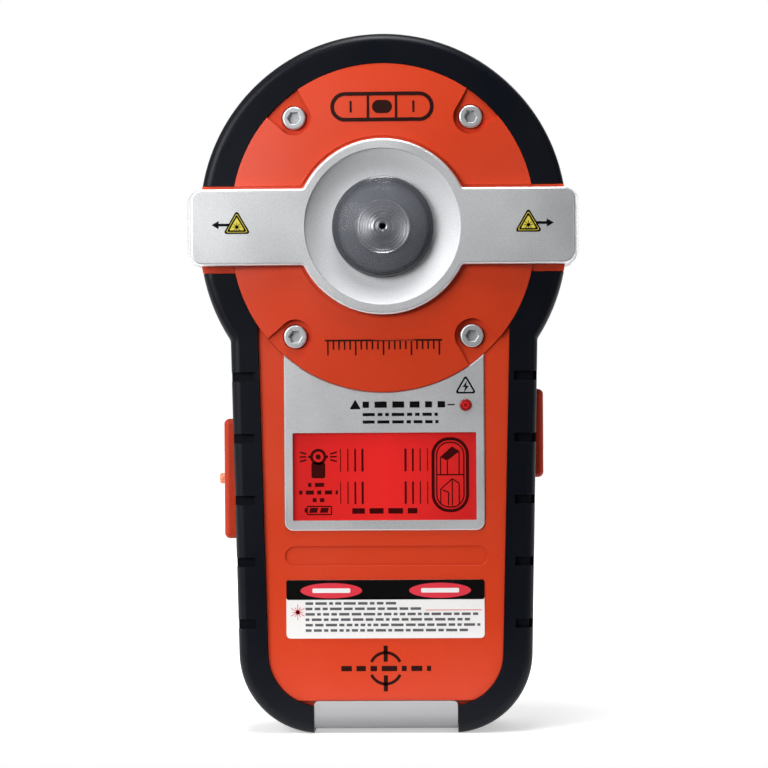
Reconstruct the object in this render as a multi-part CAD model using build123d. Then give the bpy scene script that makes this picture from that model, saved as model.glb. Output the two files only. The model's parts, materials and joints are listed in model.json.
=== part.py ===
"""Stud finder with a self-levelling line laser in its round head.

Millimetres. +Z is up, the display faces -Y and the face that slides on the wall faces +Y.
The origin is at the bottom centre of the overall box. The finder stands on its foot end.
"""
from build123d import *
import os
from math import atan2, cos, degrees, hypot, radians, sin, sqrt, tan

# Outline, seen from the front
HEAD_R = 44.6
HEAD_TOP_Z = 125.4
HEAD_LOW_Z = 120.0
CORNER_R = 19.7
CORNER_X = 16.0
FOOT_X = 17.5
SIDE_LEAN = 1.21
NECK_R = 2.0
CORNER_Z = sqrt(CORNER_R ** 2 - (FOOT_X - CORNER_X) ** 2)

# Planes along Y, front to back
LENS_Y = -20.2
BAND_Y = -17.6
CROWN_Y = -16.5
SCREW_TOP_Y = -14.7
RUBBER_Y = -14.2
DISPLAY_Y = -13.9
RIB_Y = -13.8
POCKET_Y = -13.7
BAND_BACK_Y = -13.6
PANEL_Y = -13.4
SCREW_SEAT_Y = -13.1
DISPLAY_SEAT_Y = -12.6
SKIN_Y = -12.2
WALL_Y = -10.4
LUG_Y = -8.4
BOARD_Y = -7.4
PARTING_Y = 4.0
REAR_WALL_Y = 17.5
REAR_Y = 19.3
PAD_Y = 20.2

# Shell
RUBBER = 2.2
WALL = 2.0
FIT = 0.1

# Head
PIVOT_Z = 122.9
PLATE_R = 36.7
PLATE_TOP_Z = 125.9
PLATE_LOW_Z = 119.6
CROWN_R = 330.0
BAND_HALF_X = 46.6
BAND_HALF_Z = 9.25
RIB_LOW_Z = 111.9
RIB_TOP_Z = 133.0
RING_R = 21.3
SEAT_R = 18.95
LENS_R = 12.24
WINDOW_X = 47.6
WINDOW_HALF_Z = 9.35
WINDOW_WALL = 1.2
BEAM_FRONT_Y = -9.6
BEAM_BACK_Y = 2.8
BEAM_HALF_Z = 6.5
BEAM_Y = -0.5
SCREW_X = 21.4
SCREW_DZ = 26.5
SCREW_HEAD_R = 2.8
SWING = 5.0

# Handle front
DISPLAY_X = 24.3
DISPLAY_LOW_Z = 49.3
LCD_X = 22.3
LCD_LOW_Z = 51.7
LCD_TOP_Z = 73.0
LCD_HOLE_X = 21.2
LCD_HOLE_LOW_Z = 52.4
LCD_HOLE_TOP_Z = 72.3
AC_X = 19.8
AC_Z = 79.6
CAP_TOP_Z = 7.9
CAP_LOW_Z = 1.2
NOTCH_LOW_Z = 26.7
NOTCH_PITCH = 15.0
NOTCH_COUNT = 5
NOTCH_X = 31.5
NOTCH_DEPTH = 1.2
NOTCH_BACK_Y = -10.6

# Buttons: (low z, top z, outer x)
SENSOR_BUTTON = (47.2, 76.5, 39.4)
LASER_BUTTON = (61.8, 83.4, 38.7)
BUTTON_Y = -4.5
BUTTON_WIDTH = 8.0
BUTTON_TRAVEL = 1.0
FLANGE_X = 31.8
FLANGE = 1.2
SWITCH_FACE_X = 29.0
PLUNGER_R = 1.15

# Battery bay: three AAA cells
CELL_R = 5.25
CELL_LENGTH = 44.5
CELL_PITCH = 11.2
CELL_LOW_Z = 11.6
CELL_Y = 11.15
DOOR_X = 19.8
DOOR_LOW_Z = 7.0
DOOR_AXIS_Z = 60.0
DOOR_AXIS_Y = 17.6
DOOR_BARREL_R = REAR_Y - DOOR_AXIS_Y
DOOR_PIN_R = 1.0
TRAY_X = 18.8
TRAY_LOW_Z = 7.0
TRAY_TOP_Z = 57.6
TRAY_Y = 4.6
TRAY_RIM_Y = 17.3

# Screws that hold the rear cover: (x, z), one on each side
CASE_SCREWS = [(14.0, 158.0), (29.3, 92.0), (26.5, 15.0)]
CASE_SCREW_SEAT_Y = 13.0

# Main board and display
BOARD_X = 25.0
BOARD_LOW_Z = 38.0
BOARD_TOP_Z = 89.0
BOARD_BACK_Y = -5.8
BOARD_SCREW_X = 22.5
BOARD_SCREW_Z = (41.5, 85.5)
SENSOR_BOARD_Y = 15.9
CELL_FRONT_Y = -12.5
CELL_BACK_Y = -11.1
BACKLIGHT_BACK_Y = -9.3

# Flat print and recess on the handle
PILL = (0.35, 43.1, 49.3, 4.8)
PILL_DEPTH = 0.35
LABEL = (30.2, 48.1, 14.2)
LABEL_THICK = 0.2

# Self-levelling laser
SHAFT_R = 2.0
BEARING_R = 4.0
SEAT_FRONT_Y = -7.4
HUB_FRONT_Y = -4.4
REAR_SEAT_Y = 8.5
BEARING_LENGTH = 3.0
STEM_X = 3.5
PEG_R = 1.2
PEG_Z = 111.5
BLOCK_X = 27.0
MODULE_R = 3.48
WING_LOW_Z = 92.0
CHASSIS_BACK_Y = -6.0
ARM_Z = 136.5


def slab(sketch, y_front, y_back):
    """A sketch in X and Z, made solid between two planes along Y."""
    return extrude(Plane.XZ.offset(-y_back) * sketch, amount=y_back - y_front)


def brick(x_low, x_high, y_low, y_high, z_low, z_high):
    block = Box(x_high - x_low, y_high - y_low, z_high - z_low)
    return Pos((x_low + x_high) / 2, (y_low + y_high) / 2, (z_low + z_high) / 2) * block


def rod_y(radius, y_front, y_back, x, z):
    return slab(Pos(x, z) * Circle(radius), y_front, y_back)


def rod_x(radius, x_low, x_high, y, z):
    rod = Cylinder(radius, x_high - x_low, align=(Align.CENTER, Align.CENTER, Align.MIN))
    return Pos(x_low, y, z) * Rot(0, 90, 0) * rod


def both_sides(shape):
    return shape + mirror(shape, about=Plane.YZ)


def turned(half):
    """A closed line in (radius, depth), turned about the pivot's axis, with depth towards the front."""
    solid = revolve(make_face(half.edges()), axis=Axis.Y)
    return Pos(0, 0, PIVOT_Z) * mirror(solid, about=Plane.XZ)


def outline(inset=0.0):
    """The whole silhouette, moved inwards by inset."""
    corner_r = CORNER_R - inset
    head_r = HEAD_R - inset
    lean = radians(SIDE_LEAN)
    ankle_x = CORNER_X + corner_r * cos(lean)
    ankle_z = CORNER_Z - corner_r * sin(lean)
    along = ankle_x * sin(lean) + (ankle_z - HEAD_LOW_Z) * cos(lean)
    reach = -along - sqrt(along ** 2 - ankle_x ** 2 - (ankle_z - HEAD_LOW_Z) ** 2 + head_r ** 2)
    neck = (ankle_x + reach * sin(lean), ankle_z + reach * cos(lean))
    neck_angle = degrees(atan2(neck[1] - HEAD_LOW_Z, neck[0]))
    half = Line((0, CORNER_Z - corner_r), (CORNER_X, CORNER_Z - corner_r))
    half += CenterArc((CORNER_X, CORNER_Z), corner_r, -90, 90 - SIDE_LEAN)
    half += Line((ankle_x, ankle_z), neck)
    half += CenterArc((0, HEAD_LOW_Z), head_r, neck_angle, -neck_angle)
    half += Line((head_r, HEAD_LOW_Z), (head_r, HEAD_TOP_Z))
    half += CenterArc((0, HEAD_TOP_Z), head_r, 0, 90)
    face = make_face(half.edges() + mirror(half, about=Plane.YZ).edges())
    necks = [vertex for vertex in face.vertices() if abs(vertex.Y - neck[1]) < 0.01]
    return fillet(necks, NECK_R)


def head_shape(grow=0.0):
    """The head plate's outline: two arcs with a short straight between them."""
    top = Pos(0, PLATE_TOP_Z) * Circle(PLATE_R + grow)
    low = Pos(0, PLATE_LOW_Z) * Circle(PLATE_R + grow)
    middle = Pos(0, (PLATE_TOP_Z + PLATE_LOW_Z) / 2) * Rectangle(
        2 * (PLATE_R + grow), PLATE_TOP_Z - PLATE_LOW_Z)
    return top + low + middle


def crown(y_front):
    """A large ball that reaches y_front in front of the pivot."""
    return Pos(0, y_front + CROWN_R, PIVOT_Z) * Sphere(CROWN_R)


def band_shape(grow=0.0):
    """The silver band and its ring in one outline, with eased inner corners."""
    half_z = BAND_HALF_Z + grow
    ring_r = RING_R + grow
    strap = RectangleRounded(2 * (BAND_HALF_X + grow), 2 * half_z, 3.0)
    shape = strap + Circle(ring_r)
    corner_x = sqrt(ring_r ** 2 - half_z ** 2)
    corners = [vertex for vertex in shape.vertices() if abs(abs(vertex.X) - corner_x) < 0.01]
    return Pos(0, PIVOT_Z) * fillet(corners, 0.8)


def panel_shape(grow=0.0):
    """The orange handle panel between the grips."""
    corner = (15.7, 19.5)
    corner_r = 12.9 + grow
    top = (30.65 + grow, 100.0)
    half = Line((0, corner[1] - corner_r), (corner[0], corner[1] - corner_r))
    half += CenterArc(corner, corner_r, -90, 90)
    half += Line((corner[0] + corner_r, corner[1]), top)
    half += Line(top, (0, top[1]))
    return make_face(half.edges() + mirror(half, about=Plane.YZ).edges())


def z_range(z_low, z_high):
    return Pos(0, (z_low + z_high) / 2) * Rectangle(120, z_high - z_low)


def button_cutter(button, side, clearance, x_low, x_high):
    z_low, z_high, _ = button
    size = (BUTTON_WIDTH + 2 * clearance, z_high - z_low + 2 * clearance)
    block = brick(x_low, x_high, BUTTON_Y - size[0] / 2, BUTTON_Y + size[0] / 2,
                  z_low - clearance, z_high + clearance)
    block = fillet(block.edges().filter_by(Axis.X), 1.2)
    return block if side > 0 else mirror(block, about=Plane.YZ)


def front_housing():
    shell = slab(outline(RUBBER), SKIN_Y, PARTING_Y)
    panel = panel_shape(-FIT) - head_shape(FIT) - z_range(0, CAP_TOP_Z + FIT)
    shell += slab(panel, PANEL_Y, SKIN_Y)
    rib = outline(FIT) & z_range(RIB_LOW_Z, RIB_TOP_Z)
    shell += slab(rib, RIB_Y, PARTING_Y) - slab(head_shape(FIT), RIB_Y, SKIN_Y)
    shell -= slab(outline(RUBBER + WALL), WALL_Y, PARTING_Y)
    for x, z in CASE_SCREWS:
        boss = rod_y(3.0, WALL_Y, PARTING_Y, x, z) - rod_y(1.25, -8.0, PARTING_Y, x, z)
        shell += both_sides(boss)
    for z in (PIVOT_Z - SCREW_DZ, PIVOT_Z + SCREW_DZ):
        shell += both_sides(rod_y(3.4, WALL_Y, LUG_Y, SCREW_X, z))
        shell -= both_sides(rod_y(1.6, SKIN_Y, LUG_Y, SCREW_X, z))
    for z in BOARD_SCREW_Z:
        boss = rod_y(2.5, WALL_Y, BOARD_Y, BOARD_SCREW_X, z)
        shell += both_sides(boss - rod_y(1.05, -10.2, BOARD_Y, BOARD_SCREW_X, z))
    display = slab(display_shape(FIT), PANEL_Y, DISPLAY_SEAT_Y)
    lcd_hole = brick(-LCD_HOLE_X, LCD_HOLE_X, PANEL_Y, WALL_Y, LCD_HOLE_LOW_Z, LCD_HOLE_TOP_Z)
    pill_x, pill_z, pill_length, pill_height = PILL
    pill = slab(Pos(pill_x, pill_z) * SlotOverall(pill_length, pill_height), PANEL_Y, PANEL_Y + PILL_DEPTH)
    beam_way = brick(38, 46, BEAM_FRONT_Y, BEAM_BACK_Y, PIVOT_Z - BEAM_HALF_Z, PIVOT_Z + BEAM_HALF_Z)
    shell -= display + lcd_hole + pill + rod_y(1.5, PANEL_Y, WALL_Y, AC_X, AC_Z)
    shell -= both_sides(beam_way)
    shell -= slab(band_shape(FIT / 2), RIB_Y, BAND_BACK_Y)
    shell -= button_cutter(SENSOR_BUTTON, -1, 0.15, 30, 38)
    shell -= button_cutter(LASER_BUTTON, 1, 0.15, 30, 38)
    return shell


def display_shape(grow=0.0):
    plate = Pos(0, (DISPLAY_LOW_Z + 104) / 2) * RectangleRounded(
        2 * (DISPLAY_X + grow), 104 - DISPLAY_LOW_Z + 2 * grow, 2.1)
    return plate - head_shape(FIT)


def display_plate():
    plate = slab(display_shape(), DISPLAY_Y, DISPLAY_SEAT_Y)
    plate = chamfer(plate.edges().group_by(Axis.Y)[0], 0.25)
    opening = Pos(0, (LCD_LOW_Z + LCD_TOP_Z) / 2) * RectangleRounded(2 * LCD_X, LCD_TOP_Z - LCD_LOW_Z, 0.3)
    plate -= slab(opening, DISPLAY_Y, DISPLAY_SEAT_Y)
    return plate - rod_y(1.5, DISPLAY_Y, DISPLAY_SEAT_Y, AC_X, AC_Z)


def display_window():
    pane = Pos(0, (LCD_LOW_Z + LCD_TOP_Z) / 2) * RectangleRounded(
        2 * LCD_X - 0.1, LCD_TOP_Z - LCD_LOW_Z - 0.1, 0.25)
    return slab(pane, DISPLAY_Y + 0.8, DISPLAY_SEAT_Y)


def lcd_cell():
    return brick(-20.8, 20.8, CELL_FRONT_Y, CELL_BACK_Y, 52.6, 72.1)


def lcd_backlight():
    return brick(-20.4, 20.4, CELL_BACK_Y, BACKLIGHT_BACK_Y, 55.0, 70.4)


def lcd_holder():
    frame = brick(-23.2, 23.2, WALL_Y, BOARD_Y, 50.6, 74.1)
    frame -= brick(-20.9, 20.9, WALL_Y, BOARD_Y, 52.5, 72.2)
    ledge = brick(-20.9, 20.9, BACKLIGHT_BACK_Y, BACKLIGHT_BACK_Y + 0.8, 55.0, 70.4)
    ledge -= brick(-17, 17, BACKLIGHT_BACK_Y, BACKLIGHT_BACK_Y + 0.8, 57.0, 68.4)
    return frame + ledge


def zebra_strips():
    low = brick(-19.5, 19.5, CELL_BACK_Y, BOARD_Y, 52.8, 54.6)
    top = brick(-19.5, 19.5, CELL_BACK_Y, BOARD_Y, 70.8, 72.0)
    return Compound(children=[low, top])


def ac_lens():
    return fillet(rod_y(1.45, -14.3, -9.0, AC_X, AC_Z).edges().group_by(Axis.Y)[0], 0.4)


def ac_led():
    return brick(AC_X - 1.2, AC_X + 1.2, -8.4, BOARD_Y, AC_Z - 0.8, AC_Z + 0.8)


def screw_pocket(x, z):
    """A flat pocket that widens towards the plate's rim, with a round seat for the head."""
    outward = degrees(atan2(z - PIVOT_Z, x))
    wing = Polygon((0, -4.2), (16, -7.0), (16, 7.0), (0, 4.2), align=None)
    shape = Pos(x, z) * (Circle(4.2) + Rot(0, 0, outward) * wing)
    return slab(shape, CROWN_Y, POCKET_Y) + rod_y(3.1, CROWN_Y, SCREW_SEAT_Y, x, z)


def head_plate():
    plate = slab(head_shape(), CROWN_Y, SKIN_Y) & crown(CROWN_Y)
    plate -= slab(band_shape(0.8), CROWN_Y, SKIN_Y) - crown(CROWN_Y + 0.5)
    plate -= slab(band_shape(FIT / 2), CROWN_Y, BAND_BACK_Y)
    for z in (PIVOT_Z - SCREW_DZ, PIVOT_Z + SCREW_DZ):
        for x in (-SCREW_X, SCREW_X):
            plate -= screw_pocket(x, z)
            plate -= rod_y(1.6, SCREW_SEAT_Y, SKIN_Y, x, z)
    return plate


def rubber_skin():
    """Everything the soft skin covers, before it is parted into the bumper and two grips."""
    block = slab(outline(), RUBBER_Y, PARTING_Y)
    block = fillet(block.edges().group_by(Axis.Y)[0], 2.4)
    block -= slab(outline(RUBBER), SKIN_Y, PARTING_Y)
    bare = head_shape(FIT) + panel_shape()
    block -= slab(bare, RUBBER_Y, SKIN_Y)
    block -= slab(z_range(RIB_LOW_Z - FIT, RIB_TOP_Z + FIT), RUBBER_Y, PARTING_Y)
    block -= brick(-FOOT_X, FOOT_X, RUBBER_Y, PARTING_Y, -1, 12)
    return block


def notches():
    rim = slab(z_range(0, 170), -16, NOTCH_BACK_Y)
    rim -= slab(outline(NOTCH_DEPTH), RUBBER_Y + NOTCH_DEPTH, NOTCH_BACK_Y)
    cuts = None
    for index in range(NOTCH_COUNT):
        z = NOTCH_LOW_Z + index * NOTCH_PITCH
        bar = brick(NOTCH_X, 60, -16, NOTCH_BACK_Y, z - 1.15, z + 1.15)
        cuts = bar if cuts is None else cuts + bar
    return rim & cuts


def grip(side):
    half = rubber_skin() & brick(0, 60, -20, 20, 0, RIB_LOW_Z)
    half -= notches()
    if side < 0:
        half = mirror(half, about=Plane.YZ)
        return half - button_cutter(SENSOR_BUTTON, -1, 0.7, 30, 42)
    return half - button_cutter(LASER_BUTTON, 1, 0.7, 30, 42)


def top_bumper():
    return rubber_skin() & brick(-60, 60, -20, 20, RIB_TOP_Z, 172)


def end_cap():
    face = Pos(0, (CAP_LOW_Z + CAP_TOP_Z) / 2) * Rectangle(2 * FOOT_X - 0.1, CAP_TOP_Z - CAP_LOW_Z)
    front = slab(face, RUBBER_Y + 0.2, SKIN_Y)
    tops = front.edges().filter_by(Axis.Y).group_by(Axis.Z)[-1]
    front = fillet(tops, 1.1)
    low_edge = front.edges().group_by(Axis.Y)[0].sort_by(Axis.Z)[0]
    front = fillet(low_edge, 1.5)
    lip_top = CORNER_Z - CORNER_R + RUBBER - 0.05
    return front + brick(-FOOT_X + 0.05, FOOT_X - 0.05, SKIN_Y - 0.5, PARTING_Y - 0.5, CAP_LOW_Z, lip_top)


def laser_band():
    band = slab(band_shape(), BAND_Y, BAND_BACK_Y)
    band = fillet(band.edges().group_by(Axis.Y)[0], 0.7)
    return band - rod_y(SEAT_R, BAND_Y, BAND_BACK_Y, 0, PIVOT_Z)


def side_window(side):
    """A clear cap over the beam's way out, behind the band's end."""
    shape = Pos(0, PIVOT_Z) * RectangleRounded(2 * WINDOW_X, 2 * WINDOW_HALF_Z, 3.4)
    hollow = brick(40, WINDOW_X - WINDOW_WALL, BAND_BACK_Y + WINDOW_WALL, PARTING_Y - WINDOW_WALL,
                   PIVOT_Z - WINDOW_HALF_Z + WINDOW_WALL, PIVOT_Z + WINDOW_HALF_Z - WINDOW_WALL)
    cap = slab(shape, BAND_BACK_Y, PARTING_Y) & brick(42, 50, -20, 20, 100, 140)
    cap = fillet(cap.edges().group_by(Axis.Y)[0].filter_by(lambda edge: edge.center().X > 43), 0.9)
    cap -= slab(outline(0), BAND_BACK_Y, PARTING_Y)
    cap -= hollow
    return cap if side > 0 else mirror(cap, about=Plane.YZ)


def dish_ring():
    """A bowl round the lens, steep at its rim and nearly flat at the lens."""
    rim = (SEAT_R - 0.05, -17.2)
    foot = (LENS_R + 0.08, -15.1)
    half = Line((foot[0], -BAND_BACK_Y), (rim[0], -BAND_BACK_Y))
    half += Line((rim[0], -BAND_BACK_Y), (rim[0], -rim[1]))
    half += ThreePointArc((rim[0], -rim[1]), (16.2, 15.75), (foot[0], -foot[1]))
    half += Line((foot[0], -foot[1]), (foot[0], -BAND_BACK_Y))
    return turned(half)


def bullseye_lens():
    """A domed cover with a pin hole: one wall thickness all over."""
    rim = 16.6
    tip = -LENS_Y
    wall = 1.2
    half = Line((LENS_R - wall, -BAND_BACK_Y), (LENS_R, -BAND_BACK_Y))
    half += Line((LENS_R, -BAND_BACK_Y), (LENS_R, rim))
    half += ThreePointArc((LENS_R, rim), (LENS_R * 0.62, rim + (tip - rim) * 0.66), (0.85, tip))
    half += Line((0.85, tip), (0.85, tip - wall))
    half += ThreePointArc((0.85, tip - wall), ((LENS_R - wall) * 0.62, rim - wall + (tip - rim) * 0.66),
                          (LENS_R - wall, rim - wall))
    half += Line((LENS_R - wall, rim - wall), (LENS_R - wall, -BAND_BACK_Y))
    return turned(half)


def lens_collar():
    back = -BAND_BACK_Y
    return turned(Polyline((6.8, 15.6), (10.9, 14.9), (10.9, back), (6.8, back), close=True))


def lens_core():
    """A turned metal reflector: a stepped cone round a small raised boss with the pin hole."""
    steps = 6
    back = -BAND_BACK_Y
    profile = [(0.85, 17.4), (1.2, 17.6), (2.2, 17.4), (2.4, 15.2)]
    for index in range(steps):
        radius = 2.6 + index * 0.68
        depth = 15.1 + index * 0.22
        profile.append((radius, depth))
        profile.append((radius + 0.5, depth + 0.34))
    profile += [(6.75, 16.2), (6.75, back), (0.85, back)]
    return turned(Polyline(*profile, close=True))


def socket_screw(x, z):
    head = rod_y(SCREW_HEAD_R, SCREW_TOP_Y, SCREW_SEAT_Y, x, z)
    head = fillet(head.edges().group_by(Axis.Y)[0], 0.45)
    shank = rod_y(1.45, SCREW_SEAT_Y, -3.0, x, z)
    socket = slab(Pos(x, z) * RegularPolygon(1.67, 6), SCREW_TOP_Y, SCREW_TOP_Y + 1.1)
    return head + shank - socket


def front_screws():
    spots = [(x, z) for x in (-SCREW_X, SCREW_X) for z in (PIVOT_Z - SCREW_DZ, PIVOT_Z + SCREW_DZ)]
    return Compound(children=[socket_screw(x, z) for x, z in spots])


def front_label():
    middle_z, width, height = LABEL
    sheet = Pos(0, middle_z) * RectangleRounded(width, height, 1.0)
    return slab(sheet, PANEL_Y - LABEL_THICK, PANEL_Y)


# Back
def rear_cover():
    cover = slab(outline(), PARTING_Y, REAR_Y)
    cover = fillet(cover.edges().group_by(Axis.Y)[-1], 3.0)
    cover -= slab(outline(RUBBER), PARTING_Y, REAR_WALL_Y)
    cover -= brick(-FOOT_X, FOOT_X, 0, 30, -1, CAP_LOW_Z)
    groove = slab(outline(-1), PARTING_Y, PARTING_Y + 0.6) - slab(outline(0.6), PARTING_Y, PARTING_Y + 0.6)
    cover -= groove
    for x, z in CASE_SCREWS:
        cover += both_sides(rod_y(4.2, PARTING_Y, REAR_WALL_Y, x, z) & slab(outline(0.7), PARTING_Y, REAR_Y))
    for x, z in CASE_SCREWS:
        cover -= both_sides(rod_y(2.75, CASE_SCREW_SEAT_Y, REAR_Y, x, z)
                            + rod_y(1.3, PARTING_Y, CASE_SCREW_SEAT_Y, x, z))
    ears = both_sides(brick(20.0, 23.2, 14.6, REAR_WALL_Y, DOOR_AXIS_Z - 3, DOOR_AXIS_Z + 3.5))
    cover += ears
    opening_top = DOOR_AXIS_Z + DOOR_BARREL_R + 0.2
    cover -= brick(-20.0, 20.0, REAR_WALL_Y, REAR_Y, DOOR_LOW_Z - 0.2, opening_top)
    cover -= both_sides(rod_x(DOOR_PIN_R + 0.06, 20.0, 22.4, DOOR_AXIS_Y, DOOR_AXIS_Z))
    scoop = Pos(0, REAR_Y + 5.2, DOOR_LOW_Z - 0.5) * Sphere(6.4)
    return cover - scoop


def battery_door():
    plate = brick(-DOOR_X, DOOR_X, DOOR_AXIS_Y, REAR_Y, DOOR_LOW_Z, DOOR_AXIS_Z)
    plate = fillet(plate.edges().filter_by(Axis.Y).group_by(Axis.Z)[0], 1.0)
    door = plate + rod_x(DOOR_BARREL_R, -DOOR_X, DOOR_X, DOOR_AXIS_Y, DOOR_AXIS_Z)
    door += rod_x(DOOR_PIN_R, -22.2, 22.2, DOOR_AXIS_Y, DOOR_AXIS_Z)
    for index in range(6):
        z = 12.0 + index * 1.8
        door -= brick(-7, 7, REAR_Y - 0.5, REAR_Y, z, z + 0.8)
    return door


def door_pad():
    return brick(-15, 15, DOOR_AXIS_Y - 1.0, DOOR_AXIS_Y, 20, 50)


def battery_tray():
    tray = brick(-TRAY_X, TRAY_X, TRAY_Y, TRAY_RIM_Y, TRAY_LOW_Z, TRAY_TOP_Z)
    tray += brick(-21.8, 21.8, 16.2, REAR_WALL_Y, 5.2, 54.0)
    bay = brick(-17.4, 17.4, TRAY_Y + 1.2, REAR_WALL_Y, TRAY_LOW_Z + 1, TRAY_TOP_Z - 1)
    tray -= bay
    for x in (-CELL_PITCH / 2, CELL_PITCH / 2):
        tray += brick(x - 0.3, x + 0.3, TRAY_Y + 1.2, 8.0, TRAY_LOW_Z + 1, TRAY_TOP_Z - 1)
    return tray


def battery_cell(index):
    """One AAA cell; the middle one is turned end for end."""
    nub_length = 0.8
    cell = Cylinder(CELL_R, CELL_LENGTH - nub_length, align=(Align.CENTER, Align.CENTER, Align.MIN))
    cell = fillet(cell.edges().group_by(Axis.Z)[0] + cell.edges().group_by(Axis.Z)[-1], 0.4)
    nub = Cylinder(1.9, nub_length, align=(Align.CENTER, Align.CENTER, Align.MIN))
    cell += Pos(0, 0, CELL_LENGTH - nub_length) * nub
    low_z = CELL_LOW_Z
    if index == 1:
        cell = Rot(180, 0, 0) * cell
        low_z = CELL_LOW_Z + CELL_LENGTH - 3.1
    return Pos((index - 1) * CELL_PITCH, CELL_Y, low_z) * cell


def battery_plates():
    top_z = TRAY_TOP_Z - 1
    low_z = TRAY_LOW_Z + 1
    pieces = [brick(x - 4, x + 4, CELL_Y - 4, CELL_Y + 4, top_z - 0.5, top_z)
              for x in (-CELL_PITCH, CELL_PITCH)]
    pieces.append(brick(-4, 4, CELL_Y - 4, CELL_Y + 4, low_z, low_z + 0.5))
    return Compound(children=pieces)


def contact_spring(x, z, up):
    """A cone spring on its square plate, pressed by a cell's flat end."""
    plate = brick(x - 4, x + 4, CELL_Y - 4, CELL_Y + 4, 0, 0.5)
    coil = Cone(3.6, 2.2, 3.1, align=(Align.CENTER, Align.CENTER, Align.MIN))
    coil -= Cone(3.0, 1.6, 3.1, align=(Align.CENTER, Align.CENTER, Align.MIN))
    spring = plate + Pos(x, CELL_Y, 0.5) * coil
    return Pos(0, 0, z) * spring if up else Pos(0, 0, z) * mirror(spring, about=Plane.XY)


def battery_springs():
    low_z = TRAY_LOW_Z + 1
    pieces = [contact_spring(x, low_z, True) for x in (-CELL_PITCH, CELL_PITCH)]
    pieces.append(contact_spring(0, TRAY_TOP_Z - 1, False))
    return Compound(children=pieces)


def battery_lead(x):
    """A lead from the tray's top to the back of the main board."""
    path = FilletPolyline((x, 8.0, TRAY_TOP_Z), (x, 8.0, 65.0), (x, -5.8, 65.0), radius=3.0)
    return sweep(Plane((x, 8.0, TRAY_TOP_Z), z_dir=(0, 0, 1)) * Circle(0.6), path=path)


def battery_leads():
    return Compound(children=[battery_lead(-8.0), battery_lead(-5.0)])


def case_screws():
    pieces = []
    top_y = CASE_SCREW_SEAT_Y + 2.0
    for x, z in CASE_SCREWS:
        for place in (-x, x):
            head = rod_y(2.5, CASE_SCREW_SEAT_Y, top_y, place, z)
            head = fillet(head.edges().group_by(Axis.Y)[-1], 0.5)
            cross = brick(place - 1.5, place + 1.5, top_y - 0.8, top_y, z - 0.3, z + 0.3)
            cross += brick(place - 0.3, place + 0.3, top_y - 0.8, top_y, z - 1.5, z + 1.5)
            pieces.append(head + rod_y(1.2, -6.0, CASE_SCREW_SEAT_Y, place, z) - cross)
    return Compound(children=pieces)


def wall_pads():
    spots = [(27.5, 38.0, 8.0, 50.0), (24.0, 135.0, 14.0, 14.0)]
    pieces = []
    for x, z, width, height in spots:
        pad = slab(Pos(x, z) * RectangleRounded(width, height, 3.0), REAR_Y, PAD_Y)
        pad = fillet(pad.edges().group_by(Axis.Y)[-1], 0.4)
        pieces.append(pad)
        pieces.append(mirror(pad, about=Plane.YZ))
    return Compound(children=pieces)


# Electronics
def main_board():
    board = brick(-BOARD_X, BOARD_X, BOARD_Y, BOARD_BACK_Y, BOARD_LOW_Z, BOARD_TOP_Z)
    for z in BOARD_SCREW_Z:
        board -= both_sides(rod_y(1.1, BOARD_Y, BOARD_BACK_Y, BOARD_SCREW_X, z))
    return board


def board_screws():
    pieces = []
    for x in (-BOARD_SCREW_X, BOARD_SCREW_X):
        for z in BOARD_SCREW_Z:
            pieces.append(rod_y(1.9, BOARD_BACK_Y, -4.6, x, z) + rod_y(1.0, -10.0, BOARD_BACK_Y, x, z))
    return Compound(children=pieces)


def board_chips():
    """The controller, the amplifier, the crystal and two rows of small parts."""
    spots = [(6.0, 59.0, 10.0, 10.0, 1.4), (-8.0, 52.0, 6.0, 5.0, 1.2), (17.0, 60.0, 3.2, 8.0, 2.6)]
    pieces = [brick(x - w / 2, x + w / 2, BOARD_BACK_Y, BOARD_BACK_Y + t, z - h / 2, z + h / 2)
              for x, z, w, h, t in spots]
    for column in range(6):
        for z in (44.0, 47.5):
            x = -14.0 + column * 4.0
            pieces.append(brick(x, x + 2.0, BOARD_BACK_Y, BOARD_BACK_Y + 0.8, z, z + 1.2))
    return Compound(children=pieces)


def buzzer():
    return rod_y(6.5, BOARD_BACK_Y, -2.6, -13.5, 78.0) - rod_y(1.0, -4.0, -2.6, -13.5, 78.0)


def board_header():
    return brick(-1.0, 13.0, BOARD_BACK_Y, SENSOR_BOARD_Y, 80.5, 83.5)


def sensor_board():
    """The board with the capacitive plates, against the rear wall."""
    return brick(-24.0, 24.0, SENSOR_BOARD_Y, REAR_WALL_Y, 66.5, 100.0)


def switch_spot(button):
    return (button[0] + button[1]) / 2


def switch_body(button, side):
    z = switch_spot(button)
    body = brick(BOARD_X, SWITCH_FACE_X, BUTTON_Y - 3.2, BUTTON_Y + 3.2, z - 3.1, z + 3.1)
    body -= rod_x(PLUNGER_R + 0.05, SWITCH_FACE_X - 2.0, SWITCH_FACE_X, BUTTON_Y, z)
    return body if side > 0 else mirror(body, about=Plane.YZ)


def switch_plunger(button, side):
    plunger = rod_x(PLUNGER_R, SWITCH_FACE_X - 0.8, FLANGE_X - FLANGE, BUTTON_Y, switch_spot(button))
    return plunger if side > 0 else mirror(plunger, about=Plane.YZ)


def side_button(button, side):
    z_low, z_high, x_out = button
    half_y = BUTTON_WIDTH / 2
    cap = brick(FLANGE_X, x_out, BUTTON_Y - half_y, BUTTON_Y + half_y, z_low, z_high)
    cap = fillet(cap.edges().filter_by(Axis.X), 1.4)
    cap = fillet(cap.edges().group_by(Axis.X)[-1], 1.3)
    flange = brick(FLANGE_X - FLANGE, FLANGE_X, BUTTON_Y - half_y - 1, BUTTON_Y + half_y - 0.5,
                   z_low - 1, z_high + 1)
    cap += flange
    return cap if side > 0 else mirror(cap, about=Plane.YZ)


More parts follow.
